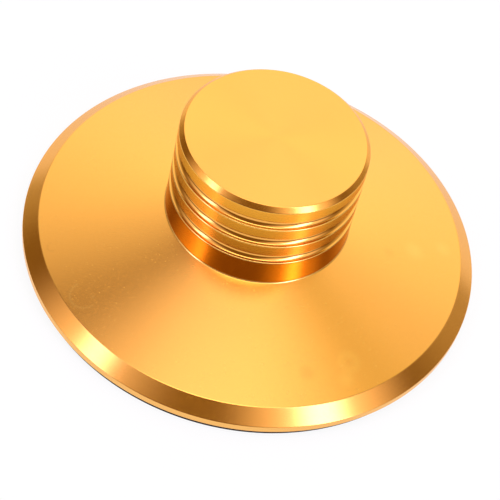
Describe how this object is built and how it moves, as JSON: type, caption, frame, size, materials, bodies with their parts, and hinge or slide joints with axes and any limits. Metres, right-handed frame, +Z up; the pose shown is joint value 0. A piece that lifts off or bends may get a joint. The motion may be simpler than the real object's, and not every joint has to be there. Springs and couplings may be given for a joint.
{
  "type": "record weight clamp",
  "caption": "Turned metal weight with a grooved knob on a wide shallow cone, a blind bore for a record player's spindle and a soft pad underneath.",
  "frame": {"origin": "where the spindle's axis meets the underside of the pad", "axes": "+Z up along the spindle, out of the knob's top; the part is the same all round it"},
  "size_m": [0.08, 0.08, 0.0293],
  "materials": {
    "anodised_body": "gold anodised, satin faces with bright-cut bevels",
    "pad": "matt black soft sheet"
  },
  "bodies": {
    "root": {"clamp_body": "anodised_body", "base_pad": "pad"}
  },
  "joints": []
}
